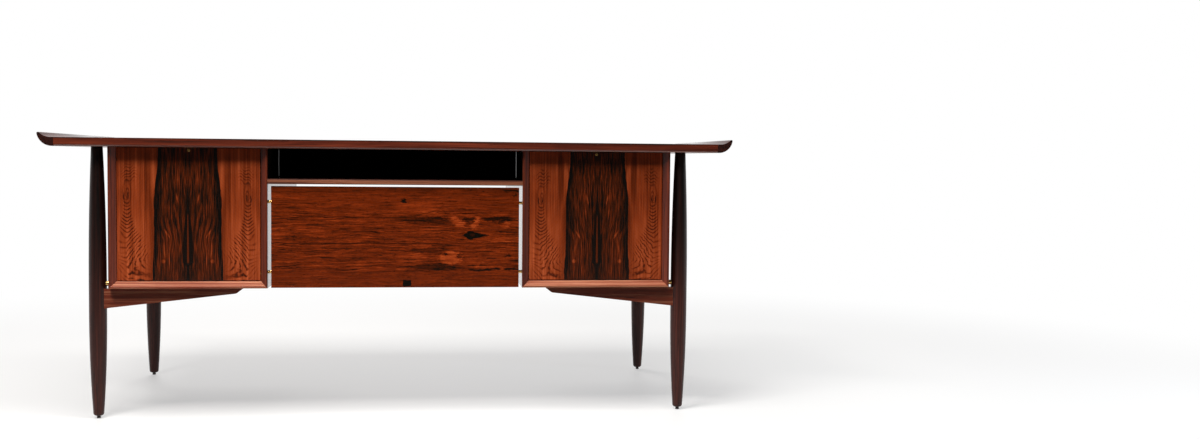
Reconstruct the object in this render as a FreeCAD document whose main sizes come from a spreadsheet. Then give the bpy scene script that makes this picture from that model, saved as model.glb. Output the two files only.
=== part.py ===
import FreeCAD
import Part
import Sketcher
import os
from types import SimpleNamespace

# An executive desk: a thin top with upturned ends on four turned legs, two hanging pedestals,
# a shelf across the kneehole and a modesty panel held clear by brass spacers.
# Millimetres. +X runs along the desk, +Y points from the visitor to the sitter, +Z is up,
# and the origin is on the floor under the middle of the top.

# Driving dimensions: alias, millimetres, what it measures
SIZES = (
    ("desk_length", 1800, "over the tips of the end lips"),
    ("desk_depth", 800, "over the long edges of the top"),
    ("desk_height", 730, "floor to writing surface"),
    ("top_thick", 23, "thickness of the top"),
    ("edge_strip", 12, "width of the solid strip on a long edge"),
    ("edge_chamfer", 4, "chamfer under a long edge"),
    ("lip_width", 40, "end lip from its joint to its tip"),
    ("lip_rise", 19, "sharp tip of the lip above the writing surface"),
    ("lip_flat_under", 3, "flat under the lip before it sweeps up"),
    ("lip_flat_over", 8, "flat on the lip before it sweeps up"),
    ("lip_round", 3.2, "radius of the finished tip"),
    ("knee_width", 666, "clear width between the pedestals"),
    ("ped_width", 400, "width of a pedestal"),
    ("ped_depth", 760, "depth of a pedestal over its bevelled strips"),
    ("ped_bottom", 341, "floor to underside of a pedestal"),
    ("board_thick", 18, "carcass boards, flaps and drawer fronts"),
    ("bevel", 13, "bevel of the strips that frame a pedestal"),
    ("strip_deep", 14, "depth of those strips"),
    ("bar_deep", 262, "visitor's face to the partition"),
    ("thin_board", 12, "partitions and drawer sides"),
    ("top_board_back", 52, "top board behind the sitter's face, finger room over a drawer"),
    ("stop_gap", 0.3, "closed flap to the edge of the top board, its stop"),
    ("leg_across", 766.5, "leg axis from the middle, along the desk"),
    ("leg_along", 346, "leg axis from the middle, across the desk"),
    ("leg_top_rad", 14.4, "leg radius under the top"),
    ("leg_belly_rad", 22.2, "leg radius at its straight middle"),
    ("leg_foot_rad", 13, "leg radius at the foot"),
    ("leg_belly_low", 270, "where the lower taper starts"),
    ("leg_belly_high", 360, "where the upper taper starts"),
    ("foot_round", 7, "rounding of the foot's edge"),
    ("tenon_rad", 7, "round tenon on top of the leg"),
    ("tenon_long", 14, "length of that tenon"),
    ("glide_rad", 5, "metal glide under a foot"),
    ("glide_flat_rad", 3.5, "flat under the glide"),
    ("glide_neck_rad", 4, "glide where it meets the foot"),
    ("glide_high", 7, "height of the glide"),
    ("glide_dome", 2, "height of the glide's domed edge"),
    ("glide_waist", 4, "where the glide narrows towards its neck"),
    ("arm_thick", 26, "thickness of an arm"),
    ("arm_reach", 369.5, "leg axis to the tip of an arm"),
    ("arm_gap", 1.5, "washers between an arm and the pedestal"),
    ("arm_tall", 53.5, "height of an arm at the leg's axis"),
    ("arm_tip_tall", 14, "height of an arm behind its tip"),
    ("arm_tip_run", 18.1, "length of the snub tip"),
    ("arm_tip_round", 12, "rounding under the tip"),
    ("mortise_wide", 9, "tenon of an arm in its leg"),
    ("mortise_tall", 30, "height of that tenon"),
    ("mortise_deep", 12, "how far the tenon passes the leg's axis"),
    ("tenon_root", 1, "how far the tenon starts inside the arm"),
    ("arm_spacer_rad", 8, "washer between an arm and the pedestal"),
    ("arm_spacer_in", 50, "outer washer inside the pedestal's outer face"),
    ("arm_spacer_out", 117, "inner washer inside the pedestal's inner face"),
    ("leg_spacer_rad", 6.5, "spacer between a leg and the pedestal"),
    ("leg_spacer_up", 11, "height of that spacer above the pedestal's bottom"),
    ("leg_seat", 18.5, "leg axis to the flat that the spacer sits on"),
    ("stud_rad", 3, "studs of the large spacers"),
    ("stud_long", 10, "length of those studs"),
    ("fit_gap", 0.05, "radial room round studs, pegs and pivots"),
    ("flap_gap", 1.5, "gap beside and above a flap or drawer front"),
    ("flap_lift", 1, "gap under a flap"),
    ("flap_tail", 20, "flap below its pivot, which tucks under the bar floor"),
    ("flap_round", 2.5, "rounding of the flap's bottom edges"),
    ("pivot_face", 6.5, "pivot behind the flap's face, so that the closed flap leans on its stop"),
    ("pivot_rad", 3, "pivot pins of a flap"),
    ("pivot_end", 0.5, "room past the end of a pivot pin"),
    ("pivot_in", 7, "pivot pin inside the carcass side"),
    ("pivot_out", 20, "pivot pin inside the flap"),
    ("bar_floor_thick", 8, "floor of the bar compartment"),
    ("tail_gap", 0.3, "room between the open flap's tail and that floor"),
    ("cleat_wide", 15, "cleats under that floor"),
    ("cleat_back", 30, "cleats set back behind the floor's front edge"),
    ("lock_drop", 7, "lock axis below the underside of the top"),
    ("lock_rad", 3.4, "barrel of the lock"),
    ("lock_rim_rad", 4, "rim of the lock"),
    ("lock_rim", 1, "how far the rim stands proud"),
    ("plug_rad", 2.4, "plug that the key turns"),
    ("keyway_half", 0.4, "half width of the keyway"),
    ("keyway_tall", 3.4, "height of the keyway"),
    ("keyway_deep", 4, "depth of the keyway"),
    ("cam_reach", 6.5, "reach of the cam from the lock axis"),
    ("cam_half", 2.2, "half width of the cam"),
    ("cam_thick", 1.8, "thickness of the cam"),
    ("cam_gap", 2.7, "flap's back to the cam"),
    ("strike_thick", 1.5, "thickness of the strike plate"),
    ("strike_half", 10, "half width of the strike plate"),
    ("strike_drop", 3.9, "strike plate below the top"),
    ("strike_deep", 8, "strike plate inside the top"),
    ("cam_notch", 12, "half width of the notch for the cam in the top board"),
    ("cam_notch_deep", 7, "depth of that notch"),
    ("drawer_high_top", 99, "height of the top drawer front"),
    ("drawer_high_mid", 116, "height of the middle drawer front"),
    ("drawer_long", 419, "length of a drawer side"),
    ("drawer_drop", 25, "drawer side below the top of its front"),
    ("drawer_lift", 4, "drawer side above the bottom of its front"),
    ("tail_deep", 12, "dovetails of a drawer side inside its front"),
    ("tail_flare", 1.8, "flare of a dovetail, each side"),
    ("pin_wide", 7, "gap between two dovetails at their roots"),
    ("pull_tall", 22, "height of the carved pull"),
    ("pull_out", 10, "how far the pull stands proud"),
    ("pull_nose", 8, "thickness of the pull's nose"),
    ("pull_round", 2, "rounding of the pull's nose"),
    ("runner_tall", 10, "drawer runner"),
    ("runner_out", 7.5, "drawer runner proud of the carcass side"),
    ("runner_long", 430, "length of a drawer runner"),
    ("runner_gap", 0.3, "running room round a runner"),
    ("groove_deep", 7, "groove for a runner in a drawer side"),
    ("ply_thick", 5, "drawer bottom"),
    ("ply_up", 8, "drawer bottom above the bottom of its front"),
    ("ply_in", 4.5, "drawer bottom inside a drawer side"),
    ("shelf_under", 614, "floor to underside of the kneehole shelf"),
    ("shelf_thick", 13.5, "thickness of that shelf"),
    ("shelf_back", 20, "shelf set back on the sitter's side"),
    ("shelf_round", 3, "rounding of its long edges"),
    ("divider_gap", 1, "light gap at the ends of the shelf divider"),
    ("panel_gap", 9, "air beside the modesty panel"),
    ("panel_drop", 5.5, "air above the modesty panel"),
    ("panel_lift", 1, "panel above the pedestal's bottom"),
    ("panel_back", 5, "modesty panel behind the visitor's face"),
    ("panel_spacer_rad", 4, "spacers of the modesty panel"),
    ("panel_spacer_in", 41, "those spacers inside the panel's edges"),
    ("panel_spacer_deep", 13, "those spacers behind the panel's face"),
    ("panel_stud_rad", 2, "studs of those spacers"),
    ("peg_rad", 4, "dowels of the shelf"),
    ("peg_half", 15, "half length of a dowel"),
    ("peg_pitch", 300, "spacing of the dowels"),
    ("screw_rad", 2, "screws up into the top"),
    ("screw_head_rad", 4, "heads of those screws"),
    ("screw_head", 2.5, "thickness of a head"),
    ("screw_bite", 12, "screw inside the top"),
    ("screw_in", 67, "screws inside the faces of a pedestal"),
    ("screw_along", 250, "screws from the middle, across the desk"),
)


# A length with its number and the sheet formula that gives it
class Size:
    def __init__(self, number, formula):
        self.number = number
        self.formula = formula

    def __add__(self, other):
        other = as_size(other)
        return Size(self.number + other.number, f"({self.formula} + {other.formula})")

    def __sub__(self, other):
        other = as_size(other)
        return Size(self.number - other.number, f"({self.formula} - {other.formula})")

    def __mul__(self, factor):
        return Size(self.number * factor, f"({self.formula} * {factor})")

    def __truediv__(self, divisor):
        return Size(self.number / divisor, f"({self.formula} / {divisor})")

    def __neg__(self):
        return Size(-self.number, f"(0 - {self.formula})")


def as_size(value):
    if isinstance(value, Size):
        return value
    return Size(value, str(value))


doc = FreeCAD.newDocument("executive_desk")
sheet = doc.addObject("Spreadsheet::Sheet", "Sizes")
dim = SimpleNamespace()
for row, (alias, number, meaning) in enumerate(SIZES, start=1):
    sheet.set(f"A{row}", meaning)
    sheet.set(f"B{row}", str(number))
    sheet.setAlias(f"B{row}", alias)
    setattr(dim, alias, Size(number, f"Sizes.{alias}"))
doc.recompute()

nodes = {}
TAILS = 3
ALONG_X = FreeCAD.Vector(1, 0, 0)
ALONG_Y = FreeCAD.Vector(0, 1, 0)
ALONG_Z = FreeCAD.Vector(0, 0, 1)

# Levels and faces that several pieces share, for the right-hand pedestal
underside = dim.desk_height - dim.top_thick
lip_joint = dim.desk_length / 2 - dim.lip_width
top_edge = dim.desk_depth / 2
ped_in = dim.knee_width / 2
ped_out = ped_in + dim.ped_width
ped_middle = ped_in + dim.ped_width / 2
inside_low = ped_in + dim.board_thick
inside_high = ped_out - dim.board_thick
ped_floor = dim.ped_bottom + dim.board_thick
ped_face = dim.ped_depth / 2
strip_back = ped_face - dim.strip_deep
front_face = ped_face - dim.bevel
front_back = front_face - dim.board_thick
partition_face = -ped_face + dim.bar_deep
partition_back = partition_face + dim.thin_board
arm_top = dim.ped_bottom - dim.arm_gap
front_low = inside_low + dim.flap_gap
front_high = inside_high - dim.flap_gap
flap_bottom = ped_floor + dim.flap_lift
pivot_along = -front_face + dim.pivot_face
pivot_up = flap_bottom + dim.flap_tail
lock_up = underside - dim.lock_drop
panel_low = dim.ped_bottom + dim.panel_lift
panel_high = dim.shelf_under - dim.panel_drop
panel_edge = ped_in - dim.panel_gap
panel_face = -ped_face + dim.panel_back
panel_spacer_along = panel_face + dim.panel_spacer_deep
leg_spacer_up = dim.ped_bottom + dim.leg_spacer_up
panel_spacer_ups = (panel_low + dim.panel_spacer_in, panel_high - dim.panel_spacer_in)
arm_spacer_across = (ped_in + dim.arm_spacer_out, ped_out - dim.arm_spacer_in)
screw_across = (ped_in + dim.screw_in, ped_out - dim.screw_in)
peg_along = (-dim.peg_pitch, as_size(0), dim.peg_pitch)


# The pair of faces at half a width each side of a middle
def around(middle, half):
    return (middle - half, middle + half)


def bind(item, name, size):
    item.setExpression(name, as_size(size).formula)


def place(item, spot):
    for axis, size in zip("xyz", spot):
        bind(item, f"Placement.Base.{axis}", size)


def keep(node, item):
    item.Label = node
    nodes[node] = item
    return item


# A plain board between two faces along each axis
def board(name, across, along, up):
    item = doc.addObject("Part::Box", name)
    for side, (low, high) in zip(("Length", "Width", "Height"), (across, along, up)):
        bind(item, side, as_size(high) - low)
    place(item, (across[0], along[0], up[0]))
    return item


# A round bar, or the tool that bores its hole
def rod(name, axis, radius, start, length):
    item = doc.addObject("Part::Cylinder", name)
    item.Placement = FreeCAD.Placement(FreeCAD.Vector(), FreeCAD.Rotation(ALONG_Z, axis))
    bind(item, "Radius", radius)
    bind(item, "Height", length)
    place(item, start)
    return item


def group(name, items):
    item = doc.addObject("Part::Compound", name)
    item.Links = items
    return item


def cut(name, base, tools):
    item = doc.addObject("Part::Cut", name)
    item.Base = base
    item.Tool = tools[0] if len(tools) == 1 else group(f"{name}_tools", tools)
    return item


def join(name, base, other):
    item = doc.addObject("Part::Fuse", name)
    item.Base = base
    item.Tool = other
    return item


def mirror(name, source, normal, across=0):
    item = doc.addObject("Part::Mirroring", name)
    item.Source = source
    item.Normal = normal
    bind(item, "Base.x", across)
    return item


def new_body(name, spot):
    body = doc.addObject("PartDesign::Body", name)
    place(body, spot)
    return body


# Centre of the arc from one corner to another that leaves the first along a given direction
def arc_centre(start, end, direction):
    normal = FreeCAD.Vector(-direction.y, direction.x, 0).normalize()
    chord = end - start
    return start + normal * (chord.Length ** 2 / (2 * chord.dot(normal)))


# One closed outline: corner i is pinned by two sizes, edge i runs to the next corner,
# and arcs maps a curved edge to the straight neighbour that it leaves smoothly
def add_outline(sketch, corners, arcs):
    first = sketch.GeometryCount
    count = len(corners)
    spots = [FreeCAD.Vector(as_size(a).number, as_size(b).number, 0) for a, b in corners]
    begins = []
    for edge in range(count):
        start = spots[edge]
        end = spots[(edge + 1) % count]
        begins.append(1)
        if edge not in arcs:
            sketch.addGeometry(Part.LineSegment(start, end), False)
            continue
        if (arcs[edge] + 1) % count == edge:
            centre = arc_centre(start, end, start - spots[edge - 1])
        else:
            centre = arc_centre(end, start, end - spots[(edge + 2) % count])
        if (start - centre).cross(end - centre).z < 0:
            begins[edge] = 2
            start, end = end, start
        circle = Part.Circle(centre, ALONG_Z, (start - centre).Length)
        arc = Part.ArcOfCircle(circle, circle.parameter(start), circle.parameter(end))
        sketch.addGeometry(arc, False)
    for edge, corner in enumerate(corners):
        before = (edge - 1) % count
        smooth = arcs.get(edge) == before or arcs.get(before) == edge
        point = (first + edge, begins[edge])
        last_point = (first + before, 3 - begins[before])
        sketch.addConstraint(Sketcher.Constraint("Tangent" if smooth else "Coincident", *last_point, *point))
        for kind, axis, size in zip(("DistanceX", "DistanceY"), (-2, -1), corner):
            size = as_size(size)
            if size.number == 0:
                sketch.addConstraint(Sketcher.Constraint("PointOnObject", *point, axis))
                continue
            index = sketch.addConstraint(Sketcher.Constraint(kind, -1, 1, *point, size.number))
            name = f"corner{first + edge}{kind[-1]}"
            sketch.renameConstraint(index, name)
            bind(sketch, f"Constraints.{name}", size)


def add_sketch(body, name, plane, outlines):
    sketch = body.newObject("Sketcher::SketchObject", name)
    support = [item for item in body.Origin.OriginFeatures if item.Role == plane][0]
    sketch.AttachmentSupport = [(support, "")]
    sketch.MapMode = "FlatFace"
    for corners, arcs in outlines:
        add_outline(sketch, corners, arcs)
    doc.recompute()
    return sketch


def pad(body, plane, corners, length, arcs=None, both_ways=False):
    sketch = add_sketch(body, f"{body.Name}_outline", plane, [(corners, arcs or {})])
    feature = body.newObject("PartDesign::Pad", f"{body.Name}_pad")
    feature.Profile = sketch
    feature.SideType = "Symmetric" if both_ways else "One side"
    bind(feature, "Length", length)
    doc.recompute()
    return feature


def revolve(body, corners, arcs=None):
    sketch = add_sketch(body, f"{body.Name}_outline", "XZ_Plane", [(corners, arcs or {})])
    feature = body.newObject("PartDesign::Revolution", f"{body.Name}_turned")
    feature.Profile = sketch
    feature.ReferenceAxis = (sketch, ["V_Axis"])
    feature.Angle = 360
    doc.recompute()
    return feature


# Cuts outlines of the body's XZ plane right through it, and checks that they met the solid
def pocket_through(body, outlines):
    before = body.Shape.Volume
    sketch = add_sketch(body, f"{body.Name}_mitre", "XZ_Plane", outlines)
    feature = body.newObject("PartDesign::Pocket", f"{body.Name}_pocket")
    feature.Profile = sketch
    feature.Type = "ThroughAll"
    feature.SideType = "Symmetric"
    doc.recompute()
    if body.Shape.Volume >= before:
        raise RuntimeError(f"{body.Name}: the pocket cut nothing")


def at_height(edge, size):
    return all(abs(point.Z - size.number) < 0.01 for point in edge.Vertexes)


def round_edges(body, feature, size, chosen):
    names = [f"Edge{index}" for index, edge in enumerate(feature.Shape.Edges, start=1) if chosen(edge)]
    if not names:
        raise RuntimeError(f"{body.Name}: no edge to round")
    fillet = body.newObject("PartDesign::Fillet", f"{body.Name}_round")
    fillet.Base = (feature, names)
    bind(fillet, "Radius", size)
    doc.recompute()
    return fillet


# A turned brass spacer between two faces, with a stud at each end
def spacer(name, axis, start, gap, radius, stud):
    disc = rod(name, axis, radius, start, gap)
    pin_start = [size - dim.stud_long if part else size for size, part in zip(start, axis)]
    pin = rod(f"{name}_stud", axis, stud, pin_start, gap + dim.stud_long * 2)
    return join(f"{name}_turned", disc, pin)


def bore(name, axis, radius, start, length):
    return rod(f"{name}_bore", axis, radius + dim.fit_gap, start, length)


# Copies a piece of the right-hand side to the other three corners of the desk
def at_corners(name, item):
    far = mirror(f"{name}_far", item, ALONG_Y)
    return [item, far, mirror(f"{name}_left", item, ALONG_X), mirror(f"{name}_far_left", far, ALONG_X)]


def both_sides(name, items):
    return items + [mirror(f"{name}_left", item, ALONG_X) for item in items]


def make_top():
    sockets = at_corners("leg_socket", bore("leg_socket", ALONG_Z, dim.tenon_rad,
                                            (dim.leg_across, -dim.leg_along, underside),
                                            dim.tenon_long + dim.fit_gap))
    slot = board("strike_slot", around(ped_middle, dim.strike_half), strike_along(),
                 (underside, underside + dim.strike_deep))
    bite = dim.screw_bite + dim.fit_gap
    pilots = [bore("top_screw", ALONG_Z, dim.screw_rad, (across, along, underside), bite)
              for across in screw_across for along in (-dim.screw_along, dim.screw_along)]
    strip_inner = top_edge - dim.edge_strip
    panel = board("top_core", (-lip_joint, lip_joint), (-strip_inner, strip_inner),
                  (underside, dim.desk_height))
    keep("top_panel", cut("top_panel", panel, sockets + both_sides("strike_slot", [slot])
                          + both_sides("top_screw_bore", pilots)))

    strip = new_body("edge_strip", (-lip_joint, strip_inner, underside))
    edge_outline = [(0, 0), (dim.edge_strip - dim.edge_chamfer, 0), (dim.edge_strip, dim.edge_chamfer),
                    (dim.edge_strip, dim.top_thick), (0, dim.top_thick)]
    pad(strip, "YZ_Plane", edge_outline, lip_joint * 2)
    keep("top_edge_sitter", strip)
    keep("top_edge_visitor", mirror("top_edge_visitor", strip, ALONG_Y))

    lip = new_body("end_lip", (lip_joint, 0, underside))
    lip_outline = [(0, 0), (dim.lip_flat_under, 0), (dim.lip_width, dim.top_thick + dim.lip_rise),
                   (dim.lip_flat_over, dim.top_thick), (0, dim.top_thick)]
    blank = pad(lip, "XZ_Plane", lip_outline, dim.desk_depth, arcs={1: 0, 2: 3}, both_ways=True)
    tip = dim.top_thick + dim.lip_rise
    round_edges(lip, blank, dim.lip_round, lambda edge: at_height(edge, tip))
    keep("top_lip_right", lip)
    keep("top_lip_left", mirror("top_lip_left", lip, ALONG_X))


# The strike plate stands just behind the closed flap, in front of the cam
def strike_along():
    return around(-front_back + dim.cam_gap / 2, dim.strike_thick / 2)


def turned_leg():
    leg = new_body("turned_leg", (dim.leg_across, -dim.leg_along, 0))
    shoulder = underside + dim.tenon_long
    outline = [(0, dim.glide_high), (dim.leg_foot_rad, dim.glide_high),
               (dim.leg_belly_rad, dim.leg_belly_low), (dim.leg_belly_rad, dim.leg_belly_high),
               (dim.leg_top_rad, underside), (dim.tenon_rad, underside),
               (dim.tenon_rad, shoulder), (0, shoulder)]
    turned = revolve(leg, outline, arcs={1: 2, 3: 2})
    round_edges(leg, turned, dim.foot_round,
                lambda edge: len(edge.Vertexes) == 1 and at_height(edge, dim.glide_high))
    return leg


def make_legs_and_arms():
    leg = turned_leg()
    leg_spot = (dim.leg_across, -dim.leg_along)
    arm_mid = arm_top - dim.arm_tall / 2
    tenon_start = dim.leg_across - dim.leg_belly_rad - dim.tenon_root
    tenon = board("arm_tenon", (tenon_start, dim.leg_across + dim.mortise_deep),
                  around(-dim.leg_along, dim.mortise_wide / 2), around(arm_mid, dim.mortise_tall / 2))
    seat_start = dim.leg_across - dim.leg_seat
    seat = bore("leg_seat", ALONG_X, dim.leg_spacer_rad, (ped_out, -dim.leg_along, leg_spacer_up),
                seat_start - ped_out)
    stud = bore("leg_stud", ALONG_X, dim.stud_rad, (ped_out, -dim.leg_along, leg_spacer_up),
                seat_start - ped_out + dim.stud_long + dim.fit_gap)
    nail = bore("glide_nail", ALONG_Z, dim.panel_stud_rad, (*leg_spot, 0),
                dim.glide_high + dim.stud_long + dim.fit_gap)
    leg_cut = cut("leg", leg, [tenon, join("leg_spacer_bores", seat, stud), nail])
    for side, item in zip(("visitor_right", "sitter_right", "visitor_left", "sitter_left"),
                          at_corners("leg", leg_cut)):
        keep(f"leg_{side}", item)

    arm = new_body("tapered_arm", (0, -dim.leg_along, 0))
    tip = dim.leg_across - dim.arm_reach
    snub = arm_top - dim.arm_tip_tall
    outline = [(dim.leg_across, arm_top), (tip, arm_top), (tip + dim.arm_tip_run, snub),
               (dim.leg_across, arm_top - dim.arm_tall)]
    blank = pad(arm, "XZ_Plane", outline, dim.arm_thick, both_ways=True)
    round_edges(arm, blank, dim.arm_tip_round, lambda edge: at_height(edge, snub))
    stud_low = arm_top - dim.stud_long - dim.fit_gap
    studs = [bore("arm_stud", ALONG_Z, dim.stud_rad, (across, -dim.leg_along, stud_low), dim.stud_long * 2)
             for across in arm_spacer_across]
    coped = cut("coped_arm", arm, [leg])
    bored = cut("bored_arm", coped, studs)
    tenoned = join("arm", bored, tenon)
    for side, item in zip(("visitor_right", "sitter_right", "visitor_left", "sitter_left"),
                          at_corners("arm", tenoned)):
        keep(f"arm_{side}", item)


def make_leg_fittings():
    glide = new_body("glide", (dim.leg_across, -dim.leg_along, 0))
    nail_top = dim.glide_high + dim.stud_long
    outline = [(0, 0), (dim.glide_flat_rad, 0), (dim.glide_rad, dim.glide_dome),
               (dim.glide_rad, dim.glide_waist), (dim.glide_neck_rad, dim.glide_high),
               (dim.panel_stud_rad, dim.glide_high), (dim.panel_stud_rad, nail_top), (0, nail_top)]
    revolve(glide, outline, arcs={1: 0})
    keep("leg_glides", group("leg_glides", at_corners("glide", glide)))

    leg_gap = dim.leg_across - dim.leg_seat - ped_out
    leg_spacer = spacer("leg_spacer", ALONG_X, (ped_out, -dim.leg_along, leg_spacer_up), leg_gap,
                        dim.leg_spacer_rad, dim.stud_rad)
    keep("leg_spacers", group("leg_spacers", at_corners("leg_spacer", leg_spacer)))

    arm_spacers = []
    for across in arm_spacer_across:
        item = spacer("arm_spacer", ALONG_Z, (across, -dim.leg_along, arm_top), dim.arm_gap,
                      dim.arm_spacer_rad, dim.stud_rad)
        arm_spacers += at_corners("arm_spacer", item)
    keep("arm_spacers", group("arm_spacers", arm_spacers))


# Bevelled strips that frame both faces of a pedestal, mitred at the bottom corners
def bevelled_strips():
    flat = dim.board_thick - dim.bevel
    mitre = dim.board_thick
    upright = new_body("upright_strip", (ped_in, strip_back, dim.ped_bottom))
    deep = dim.strip_deep
    section = [(0, 0), (mitre, 0), (mitre, deep - dim.bevel), (flat, deep), (0, deep)]
    pad(upright, "XY_Plane", section, underside - dim.ped_bottom)
    pocket_through(upright, [([(0, 0), (mitre, 0), (mitre, mitre)], {})])

    sill = new_body("sill_strip", (ped_in, strip_back, dim.ped_bottom))
    section = [(0, 0), (deep, 0), (deep, flat), (deep - dim.bevel, mitre), (0, mitre)]
    pad(sill, "YZ_Plane", section, dim.ped_width)
    far = dim.ped_width
    pocket_through(sill, [([(0, 0), (mitre, mitre), (0, mitre)], {}),
                          ([(far, 0), (far, mitre), (far - mitre, mitre)], {})])
    strips = [upright, mirror("outer_upright_strip", upright, ALONG_X, ped_middle), sill]
    return strips + [mirror(f"{item.Name}_visitor", item, ALONG_Y) for item in strips]


def make_carcass():
    depth = (-strip_back, strip_back)
    height = (dim.ped_bottom, underside)
    pivot_bores = [bore("pivot", ALONG_X, dim.pivot_rad, (across, pivot_along, pivot_up), dim.pivot_in)
                   for across in (inside_low - dim.pivot_in, inside_high)]
    peg_long = dim.peg_half + dim.fit_gap
    peg_bores = [bore("peg", ALONG_X, dim.peg_rad, (ped_in, along, shelf_middle()), peg_long)
                 for along in peg_along]
    panel_bores = [bore("panel_stud", ALONG_X, dim.panel_stud_rad, (ped_in, panel_spacer_along, up),
                        dim.stud_long + dim.fit_gap) for up in panel_spacer_ups]
    inner = board("inner_board", (ped_in, inside_low), depth, height)
    keep("right_inner_side", cut("inner_side", inner, pivot_bores[:1] + peg_bores + panel_bores))

    stud_bore = dim.stud_long + dim.fit_gap
    stud_start = ped_out - stud_bore
    leg_bores = [bore("side_stud", ALONG_X, dim.stud_rad, (stud_start, along, leg_spacer_up), stud_bore)
                 for along in (-dim.leg_along, dim.leg_along)]
    outer = board("outer_board", (inside_high, ped_out), depth, height)
    keep("right_outer_side", cut("outer_side", outer, pivot_bores[1:] + leg_bores))

    arm_bores = [bore("bottom_stud", ALONG_Z, dim.stud_rad, (across, along, dim.ped_bottom), stud_bore)
                 for across in arm_spacer_across for along in (-dim.leg_along, dim.leg_along)]
    bottom = board("bottom_board", (inside_low, inside_high), depth, (dim.ped_bottom, ped_floor))
    keep("right_bottom", cut("bottom", bottom, arm_bores))

    top_low = underside - dim.board_thick
    screw_bores = [bore("board_screw", ALONG_Z, dim.screw_rad, (across, along, top_low), dim.board_thick)
                   for across in screw_across for along in (-dim.screw_along, dim.screw_along)]
    stop_edge = -front_back + dim.stop_gap
    notch = board("cam_notch", around(ped_middle, dim.cam_notch),
                  (stop_edge, stop_edge + dim.cam_notch_deep), (top_low, underside))
    top_board = board("top_board", (inside_low, inside_high), (stop_edge, ped_face - dim.top_board_back),
                      (top_low, underside))
    keep("right_top_board", cut("bored_top_board", top_board, screw_bores + [notch]))
    keep("right_partition", board("partition", (inside_low, inside_high), (partition_face, partition_back),
                                  (ped_floor, top_low)))
    keep("right_strips", group("strips", bevelled_strips()))


# The floor of the bar compartment stops the flap: its tail swings up under the front edge
def make_bar_floor():
    floor_low = pivot_up + dim.board_thick - dim.pivot_face + dim.tail_gap
    floor_front = -front_back + dim.flap_gap
    floor = board("bar_floor", (inside_low, inside_high), (floor_front, partition_face),
                  (floor_low, floor_low + dim.bar_floor_thick))
    cleat = board("floor_cleat", (inside_low, inside_low + dim.cleat_wide),
                  (floor_front + dim.cleat_back, partition_face), (ped_floor, floor_low))
    far_cleat = mirror("far_cleat", cleat, ALONG_X, ped_middle)
    keep("right_bar_floor", group("bar_floor_set", [floor, cleat, far_cleat]))


def make_flap():
    flap = new_body("fall_flap", (front_low, -front_face, flap_bottom))
    thick = dim.board_thick
    tall = underside - dim.flap_gap - flap_bottom
    radius = dim.flap_round
    outline = [(radius, 0), (thick - radius, 0), (thick, radius), (thick, tall), (0, tall), (0, radius)]
    pad(flap, "YZ_Plane", outline, front_high - front_low, arcs={1: 0, 5: 4})
    deep = dim.pivot_out + dim.pivot_end
    bores = [bore("flap_pivot", ALONG_X, dim.pivot_rad, (front_low, pivot_along, pivot_up), deep),
             bore("flap_pivot", ALONG_X, dim.pivot_rad, (front_high - deep, pivot_along, pivot_up), deep),
             bore("flap_lock", ALONG_Y, dim.lock_rad, (ped_middle, -front_face, lock_up), thick)]
    keep("right_flap", cut("flap", flap, bores))

    pin_start = inside_low - dim.pivot_in
    pin_long = dim.pivot_in + dim.flap_gap + dim.pivot_out
    pin = rod("pivot_pin", ALONG_X, dim.pivot_rad, (pin_start, pivot_along, pivot_up), pin_long)
    pins = [pin, mirror("outer_pivot_pin", pin, ALONG_X, ped_middle)]
    keep("flap_pivot_pins", group("flap_pivot_pins", both_sides("pivot_pin", pins)))


def make_lock():
    face = -front_face - dim.lock_rim
    barrel = new_body("lock_barrel", (ped_middle, face, lock_up))
    barrel.Placement.Rotation = FreeCAD.Rotation(ALONG_X, -90)
    long = dim.lock_rim + dim.board_thick
    hole = dim.plug_rad + dim.fit_gap
    outline = [(hole, 0), (dim.lock_rim_rad - dim.lock_rim, 0), (dim.lock_rim_rad, dim.lock_rim),
               (dim.lock_rad, dim.lock_rim), (dim.lock_rad, long), (hole, long)]
    revolve(barrel, outline, arcs={1: 0})
    keep("right_lock_barrel", barrel)

    cam_front = -front_back + dim.cam_gap
    plug = rod("lock_plug", ALONG_Y, dim.plug_rad, (ped_middle, face, lock_up), cam_front - face)
    keyway = board("keyway", around(ped_middle, dim.keyway_half), (face, face + dim.keyway_deep),
                   around(lock_up, dim.keyway_tall / 2))
    bar = board("cam_bar", (ped_middle - dim.cam_half, ped_middle + dim.cam_reach),
                (cam_front, cam_front + dim.cam_thick), around(lock_up, dim.cam_half))
    sweep = rod("cam_sweep", ALONG_Y, dim.cam_reach, (ped_middle, cam_front, lock_up), dim.cam_thick)
    cam = doc.addObject("Part::Common", "cam")
    cam.Base = bar
    cam.Tool = sweep
    keep("right_lock_cam", join("lock_cam", cut("slotted_plug", plug, [keyway]), cam))

    strike = board("strike", around(ped_middle, dim.strike_half), strike_along(),
                   (underside - dim.strike_drop, underside + dim.strike_deep))
    keep("lock_strikes", group("lock_strikes", both_sides("strike", [strike])))


def drawer_levels():
    gap = dim.flap_gap
    top_high = underside - gap
    top_low = top_high - dim.drawer_high_top
    mid_low = top_low - gap - dim.drawer_high_mid
    return (("top", top_low, top_high),
            ("middle", mid_low, top_low - gap),
            ("bottom", ped_floor + gap, mid_low - gap))


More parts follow.
